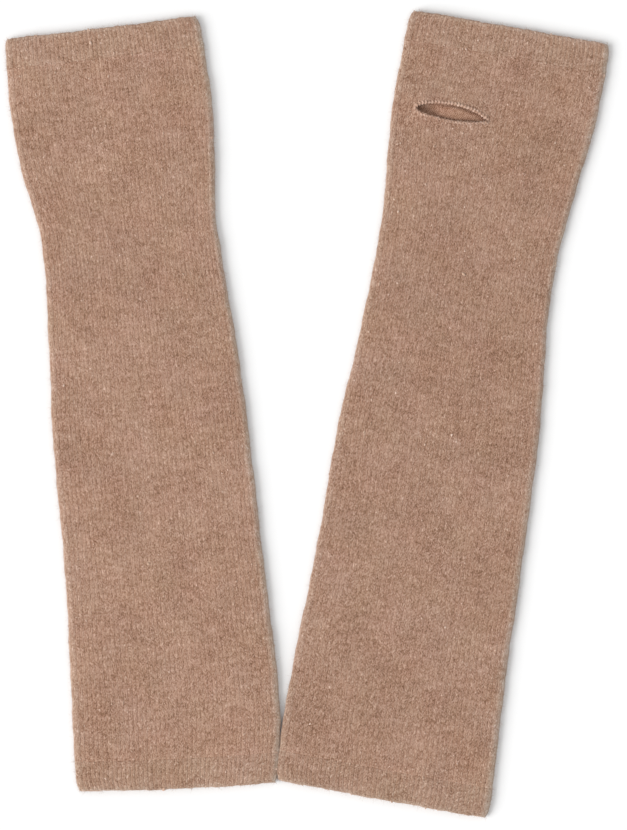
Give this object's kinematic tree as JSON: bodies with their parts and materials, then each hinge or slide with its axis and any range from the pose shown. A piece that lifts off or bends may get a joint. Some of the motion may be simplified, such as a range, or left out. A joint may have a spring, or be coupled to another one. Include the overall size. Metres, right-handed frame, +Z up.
{
  "type": "pair of knitted arm warmers, laid flat",
  "caption": "Knitted arm warmers laid flat: long jersey tubes narrowed at the wrist, with rib bands at the ends and a leaf-shaped thumb slot.",
  "frame": {"origin": "middle of the laid pair's bounding box, on the surface that it rests on", "axes": "+Y to the hand ends, the top of the picture; +X to the picture's right; +Z up from the surface"},
  "size_m": [0.3218, 0.4327, 0.0047],
  "materials": {
    "jersey": "matt heathered wool jersey with pale neps and a soft nap",
    "rib_band": "matt heathered wool, one by one rib",
    "cast_off_edging": "matt wool chain"
  },
  "bodies": {
    "root": {"left_body_front": "jersey", "left_body_back": "jersey", "left_hand_rib_front": "rib_band", "left_hand_rib_back": "rib_band", "left_arm_rib_front": "rib_band", "left_arm_rib_back": "rib_band", "left_thumb_slot_edging": "cast_off_edging", "right_body_front": "jersey", "right_body_back": "jersey", "right_hand_rib_front": "rib_band", "right_hand_rib_back": "rib_band", "right_arm_rib_front": "rib_band", "right_arm_rib_back": "rib_band", "right_thumb_slot_edging": "cast_off_edging"}
  },
  "joints": []
}
